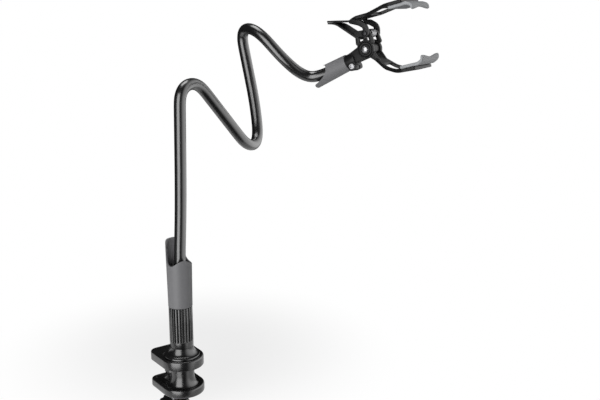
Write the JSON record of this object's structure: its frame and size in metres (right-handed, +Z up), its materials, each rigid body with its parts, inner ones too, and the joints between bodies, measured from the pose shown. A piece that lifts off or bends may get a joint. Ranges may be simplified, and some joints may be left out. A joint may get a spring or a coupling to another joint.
{
  "type": "gooseneck phone holder",
  "caption": "Table-clamp phone holder: a ribbed post with scarf-cut sleeves, a bent sheathed gooseneck and a sprung two-handled clip on a swivelling, tilting knuckle.",
  "frame": {"origin": "on the upper jaw's gripping face, on the clamp screw's axis", "axes": "+Z up along the clamp screw, +Y into the gripped table, X along the table's edge"},
  "size_m": [0.3057, 0.2441, 0.5147],
  "materials": {
    "black_plastic": "satin moulded",
    "grey_sleeve": "fine matt texture",
    "neck_sheath": "smooth, slightly glossy sheath",
    "black_rubber": "matt",
    "soft_pad": "soft, slightly cloudy",
    "zinc_steel": "zinc plated",
    "black_steel": "blackened",
    "brass": "turned",
    "nylon": "plain"
  },
  "bodies": {
    "base": {"upper_jaw": "black_plastic", "lower_jaw": "black_plastic", "jaw_pad": "black_rubber", "spine_bolt": "zinc_steel", "grip_insert": "brass", "screw_nut": "brass", "ribbed_grip": "black_plastic", "base_sleeve": "grey_sleeve", "neck_first_rise": "neck_sheath"},
    "clamp_foot": {"pressure_foot": "black_plastic", "pressure_pad": "black_rubber"},
    "clamp_screw": {"clamp_screw": "zinc_steel", "clamp_knob": "black_plastic"},
    "descent": {"neck_descent": "neck_sheath"},
    "second_rise": {"neck_second_rise": "neck_sheath"},
    "reach": {"neck_reach": "neck_sheath", "head_sleeve": "grey_sleeve", "swivel_stub": "zinc_steel"},
    "knuckle": {"knuckle": "black_plastic", "pinch_bolt": "zinc_steel", "pinch_nut": "black_steel"},
    "clip": {"clip_lower_half": "black_plastic", "lower_grip_pad": "soft_pad", "tilt_screw": "zinc_steel", "tilt_nut": "black_steel", "friction_washers": "nylon", "clip_pin": "black_steel", "clip_spring": "zinc_steel"},
    "clip_upper": {"clip_upper_half": "black_plastic", "upper_grip_pad": "soft_pad"}
  },
  "joints": [
    {"name": "clamp_travel", "type": "slide", "parent": "base", "child": "clamp_foot", "axis": [0, 0, 1], "range_m": [-0.0115, 0.0106]},
    {"name": "clamp_turn", "type": "hinge", "parent": "clamp_foot", "child": "clamp_screw", "pos_m": [0, 0, -0.03], "axis": [0, 0, 1], "range_deg": [-1400, 1300]},
    {"name": "first_elbow", "type": "hinge", "parent": "base", "child": "descent", "pos_m": [0.0217, -0.0215, 0.345], "axis": [-0.0278, 0.9996, 0.0035], "range_deg": [-25, 25]},
    {"name": "second_elbow", "type": "hinge", "parent": "descent", "child": "second_rise", "pos_m": [0.1237, -0.0024, 0.261], "axis": [0.3671, -0.887, 0.28], "range_deg": [-25, 25]},
    {"name": "third_elbow", "type": "hinge", "parent": "second_rise", "child": "reach", "pos_m": [0.1364, 0.02715, 0.40575], "axis": [0.6648, 0.7358, -0.1287], "range_deg": [-25, 25]},
    {"name": "head_swivel", "type": "hinge", "parent": "reach", "child": "knuckle", "pos_m": [0.21342, -0.08214, 0.36594], "axis": [0.3512, -0.8273, 0.4384], "continuous": true},
    {"name": "clip_tilt", "type": "hinge", "parent": "knuckle", "child": "clip", "pos_m": [0.22472, -0.10877, 0.38328], "axis": [-0.9205, -0.3907, 0], "range_deg": [-60, 30]},
    {"name": "clip_close", "type": "hinge", "parent": "clip", "child": "clip_upper", "pos_m": [0.22524, -0.10999, 0.40221], "axis": [0.9205, 0.3907, 0], "range_deg": [0, 45], "deforming": ["clip_spring"]}
  ],
  "couplings": [
    {"joint": "clamp_turn", "follows": "clamp_travel", "rad_per_m": 2094.4}
  ]
}
